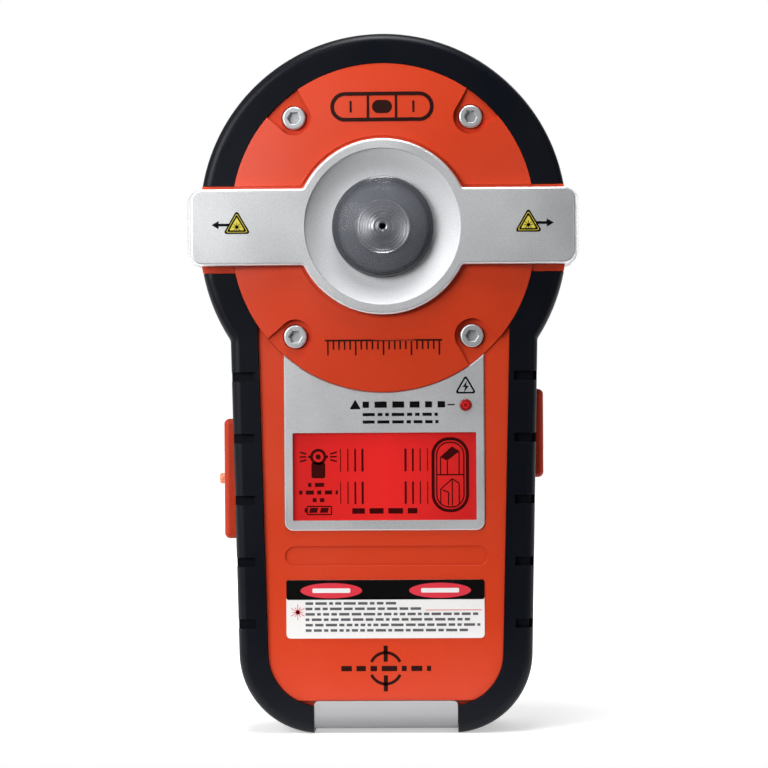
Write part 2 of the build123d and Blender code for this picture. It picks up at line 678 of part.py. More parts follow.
def button_pip():
    z = switch_spot(SENSOR_BUTTON)
    pip = rod_x(1.3, SENSOR_BUTTON[2], 40.8, BUTTON_Y, z)
    pip = fillet(pip.edges().group_by(Axis.X)[-1], 0.5)
    return mirror(pip, about=Plane.YZ)


# Self-levelling laser
def laser_chassis():
    """The fixed bracket: a cross on four lugs, a rear arm, two bearing seats and two stop pegs."""
    lean = degrees(atan2(SCREW_DZ, SCREW_X))
    cross = Pos(0, PIVOT_Z) * Circle(8.0)
    for turn in (lean, -lean):
        cross += Pos(0, PIVOT_Z) * Rot(0, 0, turn) * Rectangle(2 * hypot(SCREW_X, SCREW_DZ), 5.6)
    cross += Pos(0, PIVOT_Z - SCREW_DZ) * Rectangle(2 * SCREW_X, 4.6)
    cross += Pos(0, ARM_Z) * Rectangle(10, 27)
    lugs = [(x, z) for x in (-SCREW_X, SCREW_X) for z in (PIVOT_Z - SCREW_DZ, PIVOT_Z + SCREW_DZ)]
    for x, z in lugs:
        cross += Pos(x, z) * Circle(3.9)
    for x, z in lugs:
        cross -= Pos(x, z) * Circle(1.5)
    chassis = slab(cross, LUG_Y, CHASSIS_BACK_Y)
    for x, z in lugs:
        chassis += rod_y(3.3, CHASSIS_BACK_Y, HUB_FRONT_Y, x, z)
        chassis -= rod_y(1.5, CHASSIS_BACK_Y, HUB_FRONT_Y, x, z)
    chassis += rod_y(6.5, CHASSIS_BACK_Y, HUB_FRONT_Y, 0, PIVOT_Z)
    chassis -= rod_y(BEARING_R, SEAT_FRONT_Y, HUB_FRONT_Y, 0, PIVOT_Z)
    arm = Pos(0, PIVOT_Z) * Circle(6.5) + Pos(0, ARM_Z) * Rectangle(10, 27)
    chassis += slab(arm, REAR_SEAT_Y, REAR_SEAT_Y + BEARING_LENGTH)
    chassis += brick(-5, 5, CHASSIS_BACK_Y, REAR_SEAT_Y, 144, 150)
    chassis -= rod_y(BEARING_R, REAR_SEAT_Y, REAR_SEAT_Y + BEARING_LENGTH, 0, PIVOT_Z)
    drop = PIVOT_Z - PEG_Z
    peg_x = STEM_X / cos(radians(SWING)) + drop * tan(radians(SWING + 0.3)) + PEG_R
    for x in (-peg_x, peg_x):
        chassis += rod_y(PEG_R, -6.5, 3.0, x, PEG_Z)
    return chassis


def pivot_bearing(y_front):
    ring = rod_y(BEARING_R, y_front, y_front + BEARING_LENGTH, 0, PIVOT_Z)
    return ring - rod_y(SHAFT_R + 0.03, y_front, y_front + BEARING_LENGTH, 0, PIVOT_Z)


def damper_magnet():
    return rod_y(4.5, CHASSIS_BACK_Y, -1.2, 0, PIVOT_Z - SCREW_DZ)


def pivot_shaft():
    return rod_y(SHAFT_R, SEAT_FRONT_Y + 0.2, REAR_SEAT_Y + BEARING_LENGTH - 0.2, 0, PIVOT_Z)


def pendulum_frame():
    frame = rod_y(5.0, HUB_FRONT_Y + 0.3, REAR_SEAT_Y - 0.3, 0, PIVOT_Z)
    frame += brick(-BLOCK_X, BLOCK_X, HUB_FRONT_Y + 0.3, 4.0, PIVOT_Z - 4.5, PIVOT_Z + 4.5)
    frame += brick(-STEM_X, STEM_X, 0, 4.0, WING_LOW_Z, PIVOT_Z)
    frame -= rod_y(SHAFT_R, HUB_FRONT_Y, REAR_SEAT_Y, 0, PIVOT_Z)
    frame -= both_sides(rod_x(MODULE_R, 7.5, BLOCK_X, BEAM_Y, PIVOT_Z))
    return frame


def laser_module(side):
    barrel = rod_x(MODULE_R, 7.5, BLOCK_X + 0.8, BEAM_Y, PIVOT_Z)
    barrel -= rod_x(2.2, BLOCK_X - 1.0, BLOCK_X + 0.8, BEAM_Y, PIVOT_Z)
    return barrel if side > 0 else mirror(barrel, about=Plane.YZ)


def line_lenses():
    lens = fillet(rod_x(2.2, BLOCK_X - 1.0, BLOCK_X + 1.2, BEAM_Y, PIVOT_Z).edges().group_by(Axis.X)[-1], 0.4)
    return Compound(children=[lens, mirror(lens, about=Plane.YZ)])


def damper_wing():
    return brick(-10, 10, -0.7, 0, WING_LOW_Z, 104)


def balance_weight():
    return rod_y(5.0, 4.0, 8.0, 0, 98.5)


def trim_screws():
    pieces = []
    for x in (STEM_X, -STEM_X - 3.0):
        pieces.append(rod_x(1.25, x, x + 3.0, 2.0, 106.0))
    return Compound(children=pieces)


def write_all():
    os.makedirs("parts", exist_ok=True)
    nodes = {
        "front_housing": front_housing(),
        "head_plate": head_plate(),
        "top_bumper": top_bumper(),
        "grip_left": grip(-1),
        "grip_right": grip(1),
        "end_cap": end_cap(),
        "laser_band": laser_band(),
        "side_window_left": side_window(-1),
        "side_window_right": side_window(1),
        "dish_ring": dish_ring(),
        "bullseye_lens": bullseye_lens(),
        "lens_collar": lens_collar(),
        "lens_core": lens_core(),
        "front_screws": front_screws(),
        "front_label": front_label(),
        "display_plate": display_plate(),
        "display_window": display_window(),
        "lcd_cell": lcd_cell(),
        "lcd_backlight": lcd_backlight(),
        "lcd_holder": lcd_holder(),
        "zebra_strips": zebra_strips(),
        "ac_lens": ac_lens(),
        "ac_led": ac_led(),
        "main_board": main_board(),
        "board_screws": board_screws(),
        "board_chips": board_chips(),
        "buzzer": buzzer(),
        "board_header": board_header(),
        "sensor_board": sensor_board(),
        "sensor_switch": switch_body(SENSOR_BUTTON, -1),
        "laser_switch": switch_body(LASER_BUTTON, 1),
        "rear_cover": rear_cover(),
        "battery_tray": battery_tray(),
        "battery_plates": battery_plates(),
        "battery_springs": battery_springs(),
        "battery_leads": battery_leads(),
        "case_screws": case_screws(),
        "wall_pads": wall_pads(),
        "laser_chassis": laser_chassis(),
        "front_bearing": pivot_bearing(SEAT_FRONT_Y),
        "rear_bearing": pivot_bearing(REAR_SEAT_Y),
        "damper_magnet": damper_magnet(),
        "pendulum_frame": pendulum_frame(),
        "pivot_shaft": pivot_shaft(),
        "laser_module_left": laser_module(-1),
        "laser_module_right": laser_module(1),
        "line_lenses": line_lenses(),
        "damper_wing": damper_wing(),
        "balance_weight": balance_weight(),
        "trim_screws": trim_screws(),
        "sensor_button": side_button(SENSOR_BUTTON, -1),
        "sensor_button_pip": button_pip(),
        "sensor_switch_plunger": switch_plunger(SENSOR_BUTTON, -1),
        "laser_button": side_button(LASER_BUTTON, 1),
        "laser_switch_plunger": switch_plunger(LASER_BUTTON, 1),
        "battery_door": battery_door(),
        "door_pad": door_pad(),
    }
    for index in range(3):
        nodes["battery_cell_" + str(index + 1)] = battery_cell(index)
    for name, shape in nodes.items():
        export_step(shape, "parts/" + name + ".step")


write_all()
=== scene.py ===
"""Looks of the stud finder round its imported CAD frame.

Metres in the scene; the small numbers for shapes are millimetres and pass through MM.
+Z is up and the display faces -Y.
"""
import json
import math
import random

import bmesh
import bpy
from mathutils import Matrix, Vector


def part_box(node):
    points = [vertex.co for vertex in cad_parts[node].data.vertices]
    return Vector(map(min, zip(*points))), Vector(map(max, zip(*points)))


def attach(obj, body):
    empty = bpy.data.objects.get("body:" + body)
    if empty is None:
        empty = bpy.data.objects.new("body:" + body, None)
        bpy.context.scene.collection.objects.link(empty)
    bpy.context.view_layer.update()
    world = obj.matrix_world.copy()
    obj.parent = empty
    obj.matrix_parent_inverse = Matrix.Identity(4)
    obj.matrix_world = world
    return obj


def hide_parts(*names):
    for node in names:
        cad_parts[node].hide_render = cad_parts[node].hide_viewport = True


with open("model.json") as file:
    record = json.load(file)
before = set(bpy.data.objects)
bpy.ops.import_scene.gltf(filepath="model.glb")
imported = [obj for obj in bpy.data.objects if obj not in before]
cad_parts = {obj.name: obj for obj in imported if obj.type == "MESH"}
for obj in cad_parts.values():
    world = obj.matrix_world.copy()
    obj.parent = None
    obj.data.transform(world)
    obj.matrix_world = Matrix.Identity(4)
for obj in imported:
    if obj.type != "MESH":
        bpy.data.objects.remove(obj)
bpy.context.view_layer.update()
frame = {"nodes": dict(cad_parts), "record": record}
nodes = frame["nodes"]
slots = {entry["node"]: entry["material_slot"] for entry in frame["record"]["subparts"]}
MM = 0.001

# Sizes in mm
# The head plate's front is part of a large ball, foremost at the pivot's height
CROWN_R = 330.0
CROWN_Y = -16.5
PIVOT_Z = 122.9
# The lens's thick outer wall starts at this radius, and its rim lies behind this height along Y
LENS_WALL_R = 10.75
LENS_RIM_Y = -16.9
# How far ink stands proud of its surface and reaches into it
LIFT = 0.03
SINK = 0.03
# The longest straight piece of ink on a crowned surface
INK_STEP = 1.0
# Heights of the signs, and the pitch of the scale's ticks
LEVEL_SIGN_Z = 152.0
SCALE_TOP_Z = 95.2
TICK_PITCH = 1.35
FOOT_MARK_Z = 15.8

# Angles in degrees
SMOOTH_ANGLE = 28
BEVEL_ANGLE = 32

# The camera: millimetres for the lens and its sensor, metres for the rest
LENS_LENGTH = 135.0
SENSOR_WIDTH = 36.0
VIEW_WIDTH = 0.1865
CAMERA_TARGET = (0.0, -0.013, 0.0848)
CAMERA_YAW = 1.7
CAMERA_ROLL = 0.37

# The studio, in metres and watts: each light's name, place, size and power
LIGHTS = (("key", (-0.27, -0.29, 0.22), 0.24, 1.45),
          ("fill", (0.25, -0.33, 0.15), 0.24, 0.10),
          ("top", (-0.02, -0.10, 0.46), 0.16, 1.2),
          ("back", (0.15, 0.60, 0.35), 0.50, 2.0))
LIGHT_TARGET = (0, 0, 0.085)
FLOOR_HALF = 3.0
FLOOR_NEAR_Y = -0.066
# The floor's own glow grows from the first value to the second between two distances from the object
FLOOR_GLOW = (0.45, 0.95)
FLOOR_GLOW_REACH = (0.04, 0.45)


def box_mm(node):
    low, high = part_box(node)
    return [value / MM for value in low], [value / MM for value in high]


# ---------------------------------------------------------------- materials
def principled(name, color, roughness, metallic=0.0, **sockets):
    """A material whose constant values sit on the shader's own sockets."""
    material = bpy.data.materials.new(name)
    material.use_nodes = True
    shader = material.node_tree.nodes["Principled BSDF"]
    shader.inputs["Base Color"].default_value = (*color, 1.0)
    shader.inputs["Roughness"].default_value = roughness
    shader.inputs["Metallic"].default_value = metallic
    for socket, value in sockets.items():
        shader.inputs[socket.replace("_", " ")].default_value = value
    return material, shader


def object_coords(material):
    return material.node_tree.nodes.new("ShaderNodeTexCoord").outputs["Object"]


def noise(material, scale, detail=2.0, roughness=0.5):
    tree = material.node_tree
    texture = tree.nodes.new("ShaderNodeTexNoise")
    texture.inputs["Scale"].default_value = scale
    texture.inputs["Detail"].default_value = detail
    texture.inputs["Roughness"].default_value = roughness
    tree.links.new(object_coords(material), texture.inputs["Vector"])
    return texture.outputs["Fac"]


def ramp_to(material, factor, socket, stops):
    """Sends a factor through a colour ramp of (position, colour) stops to a socket, and gives the ramp."""
    tree = material.node_tree
    ramp = tree.nodes.new("ShaderNodeValToRGB")
    elements = ramp.color_ramp.elements
    while len(elements) < len(stops):
        elements.new(0.5)
    for element, (position, color) in zip(elements, stops):
        element.position = position
        element.color = (*color, 1.0)
    tree.links.new(factor, ramp.inputs["Fac"])
    tree.links.new(ramp.outputs["Color"], socket)
    return ramp


def map_range(tree, value, from_low, from_high, to_low=0.0, to_high=1.0):
    """A node that carries one range of values to another."""
    node = tree.nodes.new("ShaderNodeMapRange")
    for socket, number in (("From Min", from_low), ("From Max", from_high),
                           ("To Min", to_low), ("To Max", to_high)):
        node.inputs[socket].default_value = number
    tree.links.new(value, node.inputs["Value"])
    return node


def range_to(material, factor, socket, low, high, from_low=0.3, from_high=0.7):
    """Sends a factor to a socket, carried to the range from low to high."""
    mapping = map_range(material.node_tree, factor, from_low, from_high, low, high)
    material.node_tree.links.new(mapping.outputs["Result"], socket)


def along(material, axis, low, high):
    """A factor that runs from 0 to 1 between two places on an axis."""
    tree = material.node_tree
    split = tree.nodes.new("ShaderNodeSeparateXYZ")
    tree.links.new(object_coords(material), split.inputs["Vector"])
    return map_range(tree, split.outputs[axis], low, high).outputs["Result"]


def math_node(tree, operation, *values):
    """The output of a maths node; each value is a number or another node's output."""
    node = tree.nodes.new("ShaderNodeMath")
    node.operation = operation
    for socket, value in zip(node.inputs, values):
        if isinstance(value, bpy.types.NodeSocket):
            tree.links.new(value, socket)
        else:
            socket.default_value = value
    return node.outputs["Value"]


def rings(material, axis, centre, scale, distortion, detail):
    """A texture of fine rings round an axis, and the place that it is measured from."""
    tree = material.node_tree
    mapping = tree.nodes.new("ShaderNodeMapping")
    mapping.inputs["Location"].default_value = [-value for value in centre]
    tree.links.new(object_coords(material), mapping.inputs["Vector"])
    wave = tree.nodes.new("ShaderNodeTexWave")
    wave.wave_type = "RINGS"
    wave.rings_direction = axis
    for socket, value in (("Scale", scale), ("Distortion", distortion), ("Detail", detail)):
        wave.inputs[socket].default_value = value
    tree.links.new(mapping.outputs["Vector"], wave.inputs["Vector"])
    return wave.outputs["Fac"], mapping.outputs["Vector"]


def bump(material, shader, factor, strength, distance):
    tree = material.node_tree
    node = tree.nodes.new("ShaderNodeBump")
    node.inputs["Strength"].default_value = strength
    node.inputs["Distance"].default_value = distance
    tree.links.new(factor, node.inputs["Height"])
    tree.links.new(node.outputs["Normal"], shader.inputs["Normal"])


def shade(color, factor):
    return tuple(min(1.0, channel * factor) for channel in color)


def grained(name, color, roughness, metallic=0.0, scale=3000.0, vary=0.06, strength=0.12,
            depth=0.00003, rough_vary=0.06, **sockets):
    """A moulded or painted finish: fine grain in colour, gloss and height."""
    material, shader = principled(name, color, roughness, metallic, **sockets)
    fine = noise(material, scale, detail=3.0)
    broad = noise(material, 45.0, detail=2.0)
    ramp_to(material, fine, shader.inputs["Base Color"],
            [(0.3, shade(color, 1 - vary)), (0.7, shade(color, 1 + vary))])
    range_to(material, broad, shader.inputs["Roughness"], roughness - rough_vary, roughness + rough_vary)
    bump(material, shader, fine, strength, depth)
    return material


def turned_metal(name, color, roughness, axis, centre, pitch):
    """Lathe-turned metal: fine rings round an axis."""
    material, shader = principled(name, color, roughness, 1.0)
    tree = material.node_tree
    lay, _ = rings(material, axis, centre, 1.0 / pitch / 3.2, 0.4, 1.0)
    radial = tree.nodes.new("ShaderNodeTangent")
    radial.direction_type = "RADIAL"
    radial.axis = axis
    tree.links.new(radial.outputs["Tangent"], shader.inputs["Tangent"])
    shader.inputs["Anisotropic"].default_value = 0.8
    range_to(material, lay, shader.inputs["Roughness"], roughness * 0.7, roughness * 1.5, 0, 1)
    bump(material, shader, lay, 0.15, 0.00004)
    return material


def reflector(name, color, roughness):
    """A bright turned reflector: fine rings, with a painted highlight of two brighter and two duller
    sectors of base colour, a bow-tie reflection painted in.
    """
    material, shader = principled(name, color, roughness, 1.0)
    tree = material.node_tree
    lay, place = rings(material, "Y", PIVOT, 420.0, 0.3, 2.0)
    split = tree.nodes.new("ShaderNodeSeparateXYZ")
    tree.links.new(place, split.inputs["Vector"])
    angle = math_node(tree, "ARCTAN2", split.outputs["Z"], split.outputs["X"])
    # Painted highlight: base colour brighter in two opposite sectors and duller in the two between, a
    # bow-tie reflection painted in
    painted_highlight_sectors = math_node(tree, "COSINE", math_node(tree, "MULTIPLY", angle, 2.0))
    both = math_node(tree, "MULTIPLY_ADD", painted_highlight_sectors, 0.55, lay)
    ramp_to(material, both, shader.inputs["Base Color"],
            [(0.0, shade(color, 0.26)), (0.45, shade(color, 0.60)), (1.0, color)])
    range_to(material, lay, shader.inputs["Roughness"], roughness * 1.3, roughness * 0.8, 0, 1)
    return material


def clear(name, color, roughness, opacity, **sockets):
    """A thin see-through moulding with slight clouding."""
    material, shader = principled(name, color, roughness, IOR=1.49, **sockets)
    cloud = noise(material, 160.0, detail=1.0)
    range_to(material, cloud, shader.inputs["Alpha"], opacity * 0.92, opacity * 1.08)
    return material


def printed_cell():
    """A battery's plain sleeve: slate blue with a pale band, and bare metal at both ends."""
    material, shader = principled("cell_sleeve", (0.03, 0.03, 0.03), 0.28, 0.6)
    low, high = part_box("battery_cell_1")
    slate = (0.035, 0.075, 0.14)
    ramp = ramp_to(material, along(material, "Z", low.z, high.z), shader.inputs["Base Color"],
                   [(0.0, (0.55, 0.55, 0.56)), (0.035, slate), (0.74, (0.70, 0.71, 0.72)), (0.80, slate),
                    (0.965, (0.6, 0.6, 0.6))])
    ramp.color_ramp.interpolation = "CONSTANT"
    range_to(material, noise(material, 600.0), shader.inputs["Roughness"], 0.22, 0.34)
    return material


PIVOT = (0.0, 0.0, PIVOT_Z * MM)
ORANGE = (0.640, 0.048, 0.011)
RUBBER = (0.0022, 0.0034, 0.0070)
SILVER = (0.80, 0.81, 0.83)

materials = {
    "orange_plastic": grained("orange_plastic", ORANGE, 0.36, scale=2600.0, vary=0.04, strength=0.10),
    "soft_rubber": grained("soft_rubber", RUBBER, 0.40, scale=5200.0, vary=0.45, strength=0.30,
                           depth=0.00004, rough_vary=0.05, Specular_IOR_Level=0.18),
    "silver_plastic": grained("silver_paint", SILVER, 0.42, 0.72, scale=6500.0, vary=0.12, strength=0.12),
    "clear_plastic": clear("clear_plastic", (0.56, 0.58, 0.61), 0.06, 0.30),
    "smoke_plastic": clear("smoke_plastic", (0.225, 0.234, 0.270), 0.14, 0.30, Specular_IOR_Level=0.16),
    "red_plastic": grained("red_window", (0.76, 0.020, 0.019), 0.12, scale=800.0, vary=0.02, strength=0.02,
                           rough_vary=0.02, Emission_Color=(0.9, 0.03, 0.03, 1.0), Emission_Strength=0.10),
    "dark_plastic": grained("dark_plastic", (0.022, 0.023, 0.026), 0.52, scale=1900.0, vary=0.25,
                            strength=0.5, depth=0.00006),
    "turned_metal": reflector("turned_metal", (0.98, 0.98, 1.0), 0.32),
    "screw_steel": grained("screw_steel", (0.66, 0.67, 0.69), 0.44, 0.8, scale=1500.0, vary=0.04,
                           strength=0.05, rough_vary=0.05),
    "label_film": grained("label_film", (0.86, 0.86, 0.85), 0.35, scale=2400.0, vary=0.02, strength=0.03),
    "lcd_glass": grained("lcd_glass", (0.16, 0.19, 0.15), 0.08, scale=500.0, vary=0.05, strength=0.01),
    "white_plastic": grained("white_plastic", (0.80, 0.79, 0.75), 0.40, scale=2200.0, vary=0.03),
    "circuit_board": grained("circuit_board", (0.012, 0.105, 0.040), 0.30, scale=700.0, vary=0.35,
                             strength=0.25, depth=0.00005),
    "chip_black": grained("chip_black", (0.018, 0.018, 0.019), 0.45, scale=3000.0, vary=0.2, strength=0.2),
    "contact_metal": grained("contact_metal", (0.66, 0.64, 0.58), 0.25, 1.0, scale=900.0, vary=0.08),
    "cell_shell": printed_cell(),
    "wire_cover": grained("wire_cover", (0.42, 0.012, 0.010), 0.42, scale=1200.0, vary=0.08),
    "felt": grained("felt", (0.045, 0.046, 0.050), 0.95, scale=2500.0, vary=0.6, strength=0.9,
                    depth=0.00025, rough_vary=0.03, Sheen_Weight=0.6, Sheen_Roughness=0.7),
    "zinc": grained("zinc", (0.42, 0.43, 0.45), 0.42, 1.0, scale=1400.0, vary=0.12, strength=0.35),
    "bearing_steel": grained("bearing_steel", (0.62, 0.62, 0.63), 0.20, 1.0, scale=800.0, vary=0.05),
    "brass": turned_metal("brass", (0.72, 0.50, 0.20), 0.24, "X", PIVOT, 0.0005),
    "copper": grained("copper", (0.72, 0.32, 0.18), 0.28, 1.0, scale=900.0, vary=0.12),
}
AC_PLASTIC = grained("ac_plastic", (0.30, 0.006, 0.008), 0.16, scale=900.0, vary=0.04, strength=0.02)
WALL_SMOKE = grained("wall_smoke", (0.060, 0.064, 0.075), 0.22, scale=900.0, vary=0.05, strength=0.02)
COLLAR = grained("collar_plastic", (0.085, 0.088, 0.100), 0.75, scale=900.0, vary=0.05, strength=0.0,
                 Specular_IOR_Level=0.1)
DISH_PAINT = grained("dish_paint", (0.66, 0.67, 0.69), 0.62, 0.30, scale=6500.0, vary=0.14, strength=0.10)
CAP_PAINT = grained("cap_paint", (0.46, 0.47, 0.49), 0.45, 0.2, scale=4000.0, vary=0.03, strength=0.05)
PIP_PLASTIC = grained("pip_plastic", (0.85, 0.34, 0.20), 0.22, scale=1500.0, vary=0.05, strength=0.05)
INK = grained("dark_ink", (0.020, 0.003, 0.002), 0.45, scale=3000.0, vary=0.2, strength=0.02,
              Specular_IOR_Level=0.15)
BUTTON_ORANGE = grained("button_orange", (0.50, 0.036, 0.009), 0.42, scale=2600.0, vary=0.04, strength=0.10,
                        Specular_IOR_Level=0.25)
BLACK_INK = grained("black_ink", (0.003, 0.003, 0.003), 0.40, scale=3000.0, vary=0.2, strength=0.02,
                    Specular_IOR_Level=0.1)
GREY_INK = grained("grey_ink", (0.10, 0.10, 0.11), 0.50, scale=3000.0, vary=0.2, strength=0.02)
RED_INK = grained("red_ink", (0.72, 0.035, 0.060), 0.42, scale=3000.0, vary=0.06, strength=0.02)
RED_GLOW = grained("red_glow", (0.60, 0.025, 0.022), 0.20, scale=900.0, vary=0.05, strength=0.02)
YELLOW_INK = grained("yellow_ink", (0.72, 0.60, 0.06), 0.42, scale=3000.0, vary=0.06, strength=0.02)
WHITE_INK = grained("white_ink", (0.85, 0.85, 0.84), 0.42, scale=3000.0, vary=0.02, strength=0.02)
LCD_INK = grained("lcd_ink", (0.045, 0.002, 0.002), 0.30, scale=3000.0, vary=0.1, strength=0.02,
                  Specular_IOR_Level=0.2)


def cap_shade(material):
    """The end cap curves away at its foot; painted shade darkens its base colour towards the foot."""
    low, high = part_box("end_cap")
    shader = material.node_tree.nodes["Principled BSDF"]
    ramp_to(material, along(material, "Z", low.z, high.z), shader.inputs["Base Color"],
            [(0.0, (0.16, 0.165, 0.17)), (0.25, (0.26, 0.265, 0.275)), (0.55, (0.38, 0.39, 0.40)),
             (1.0, (0.46, 0.47, 0.48))])


def edge_lit(material):
    """A display lit from behind: a little darker towards its two ends."""
    low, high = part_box("display_window")
    shader = material.node_tree.nodes["Principled BSDF"]
    ramp_to(material, along(material, "X", low.x, high.x), shader.inputs["Base Color"],
            [(0.0, (0.54, 0.017, 0.017)), (0.22, (0.66, 0.019, 0.018)), (0.5, (0.76, 0.021, 0.020)),
             (0.78, (0.64, 0.019, 0.018)), (1.0, (0.50, 0.016, 0.016))])


def dress_cad_nodes():
    """Every node's own mesh gets its slot's material, or a special one."""
    special = {"dish_ring": DISH_PAINT, "ac_lens": AC_PLASTIC, "lens_collar": COLLAR,
               "sensor_button_pip": PIP_PLASTIC}
    for name, node in nodes.items():
        node.data.materials.clear()
        node.data.materials.append(special.get(name, materials[slots[name]]))
        node.data.shade_smooth()
        node.data.set_sharp_from_angle(angle=math.radians(SMOOTH_ANGLE))


# ---------------------------------------------------------------- mesh pieces
def add_object(name, mesh, material, body):
    piece = bpy.data.objects.new(name, mesh)
    bpy.context.scene.collection.objects.link(piece)
    mesh.materials.clear()
    mesh.materials.append(material)
    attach(piece, body)
    return piece


def apply_modifiers(piece):
    graph = bpy.context.evaluated_depsgraph_get()
    mesh = bpy.data.meshes.new_from_object(piece.evaluated_get(graph))
    piece.modifiers.clear()
    piece.data = mesh
    return piece


def refined(node, width, body="housing", segments=3, merge=0.6, material=None):
    """The node's own shape with every hard edge eased, as a moulded or machined piece has them."""
    work = bmesh.new()
    work.from_mesh(nodes[node].data)
    bmesh.ops.remove_doubles(work, verts=work.verts, dist=0.002 * MM)
    if merge:
        bmesh.ops.dissolve_limit(work, angle_limit=math.radians(merge), verts=work.verts, edges=work.edges)
    mesh = bpy.data.meshes.new(node + "_fine")
    work.to_mesh(mesh)
    work.free()
    piece = add_object(node + "_fine", mesh, material or materials[slots[node]], body)
    mesh.shade_smooth()
    ease = piece.modifiers.new("ease", "BEVEL")
    ease.width = width * MM
    ease.segments = segments
    ease.limit_method = "ANGLE"
    ease.angle_limit = math.radians(BEVEL_ANGLE)
    ease.use_clamp_overlap = True
    even = piece.modifiers.new("even", "WEIGHTED_NORMAL")
    even.keep_sharp = False
    even.weight = 60
    apply_modifiers(piece)
    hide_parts(node)
    return piece


def lens_with_wall():
    """The clear dome, with its thick outer wall as dark as thick plastic looks from its edge."""
    piece = refined("bullseye_lens", 0.12, merge=0)
    piece.data.materials.append(WALL_SMOKE)
    for face in piece.data.polygons:
        centre = face.center
        reach = math.hypot(centre.x / MM, centre.z / MM - PIVOT_Z)
        faces_sideways = abs(face.normal.y) < 0.5
        if reach > LENS_WALL_R and (centre.y / MM > LENS_RIM_Y or faces_sideways):
            face.material_index = 1


def crown_y(x, z):
    """The head plate's front surface."""
    reach = x * x + (z - PIVOT_Z) ** 2
    return CROWN_Y + CROWN_R - math.sqrt(CROWN_R ** 2 - reach)


def dense(loops, step):
    """The loops with their long edges cut into steps, alike in each loop."""
    rows = [[] for _ in loops]
    count = len(loops[0])
    for i in range(count):
        j = (i + 1) % count
        cuts = max(1, math.ceil(math.dist(loops[0][i], loops[0][j]) / step))
        for row, loop in zip(rows, loops):
            for k in range(cuts):
                part = k / cuts
                row.append((loop[i][0] * (1 - part) + loop[j][0] * part,
                            loop[i][1] * (1 - part) + loop[j][1] * part))
    return rows


def printed(name, shapes, surface, material, body="housing", lift=LIFT):
    """Thin ink or film on a surface. A shape is a closed loop, or a pair of loops with a gap between.

    surface is a height in mm along Y, or a function of x and z that gives it.
    """
    height = surface if callable(surface) else lambda x, z: surface
    work = bmesh.new()
    for shape in shapes:
        loops = shape if isinstance(shape, tuple) else (shape,)
        if callable(surface):
            loops = dense(loops, INK_STEP)
        rows = []
        for loop in loops:
            front = [work.verts.new((x * MM, (height(x, z) - lift) * MM, z * MM)) for x, z in loop]
            back = [work.verts.new((x * MM, (height(x, z) + SINK) * MM, z * MM)) for x, z in loop]
            rows.append((front, back))
        count = len(loops[0])
        for front, back in rows:
            for i in range(count):
                j = (i + 1) % count
                work.faces.new((front[i], front[j], back[j], back[i]))
        if len(rows) == 1:
            work.faces.new(rows[0][0])
            work.faces.new(rows[0][1])
        else:
            for side in (0, 1):
                outer, inner = rows[0][side], rows[1][side]
                for i in range(count):
                    j = (i + 1) % count
                    work.faces.new((outer[i], outer[j], inner[j], inner[i]))
    bmesh.ops.recalc_face_normals(work, faces=work.faces)
    mesh = bpy.data.meshes.new(name)
    work.to_mesh(mesh)
    work.free()
    piece = add_object(name, mesh, material, body)
    return piece


# ---------------------------------------------------------------- flat shapes, in mm
def rect(x_low, x_high, z_low, z_high):
    return [(x_low, z_low), (x_high, z_low), (x_high, z_high), (x_low, z_high)]


def oval(x, z, half_x, half_z, count=48):
    angles = [2 * math.pi * i / count for i in range(count)]
    return [(x + half_x * math.cos(angle), z + half_z * math.sin(angle)) for angle in angles]


def ring(x, z, outer, inner, count=48):
    return oval(x, z, outer, outer, count), oval(x, z, inner, inner, count)


def rounded(x_low, x_high, z_low, z_high, radius, steps=6):
    points = []
    corners = [(x_high - radius, z_high - radius, 0), (x_low + radius, z_high - radius, 90),
               (x_low + radius, z_low + radius, 180), (x_high - radius, z_low + radius, 270)]
    for x, z, start in corners:
        for i in range(steps + 1):
            angle = math.radians(start + 90 * i / steps)
            points.append((x + radius * math.cos(angle), z + radius * math.sin(angle)))
    return points


def rounded_frame(x_low, x_high, z_low, z_high, radius, width, steps=8):
    return (rounded(x_low, x_high, z_low, z_high, radius, steps),
            rounded(x_low + width, x_high - width, z_low + width, z_high - width, radius - width, steps))


def stroke(start, end, width):
    """A straight bar from one point to another."""
    along = Vector((end[0] - start[0], end[1] - start[1])).normalized() * (width / 2)
    side = Vector((-along.y, along.x))
    return [(start[0] + side.x, start[1] + side.y), (start[0] - side.x, start[1] - side.y),
            (end[0] - side.x, end[1] - side.y), (end[0] + side.x, end[1] + side.y)]


def arc_band(x, z, radius, width, start, end, steps=16):
    """A curved bar; its angles are in degrees."""
    angles = [math.radians(start + (end - start) * i / steps) for i in range(steps + 1)]
    outer, inner = (radius + width / 2, radius - width / 2)
    far = [(x + outer * math.cos(a), z + outer * math.sin(a)) for a in angles]
    near = [(x + inner * math.cos(a), z + inner * math.sin(a)) for a in angles]
    return far + near[::-1]


def triangle(x, z, half, radius, steps=5):
    """An upright triangle with rounded corners; half is half its base."""
    height = half * math.sqrt(3)
    foot = z - height / 3 + radius
    inset = radius * 1.73
    top = z + height * 2 / 3 - 2 * radius
    tips = [(x + half - inset, foot, -90), (x, top, 30), (x - half + inset, foot, 150)]
    points = []
    for tip_x, tip_z, start in tips:
        for i in range(steps + 1):
            angle = math.radians(start + 120 * i / steps)
            points.append((tip_x + radius * math.cos(angle), tip_z + radius * math.sin(angle)))
    return points


def words(x_low, x_high, z, height, seed, mean=2.2):
    """A row of short bars in place of a line of words."""
    draw = random.Random(seed)
    bars = []
    x = x_low
    gap = height * 0.9
    while x < x_high - 0.4:
        length = min(mean * draw.uniform(0.45, 1.6), x_high - x)
        bars.append(rect(x, x + length, z - height / 2, z + height / 2))
        x += length + gap
    return bars


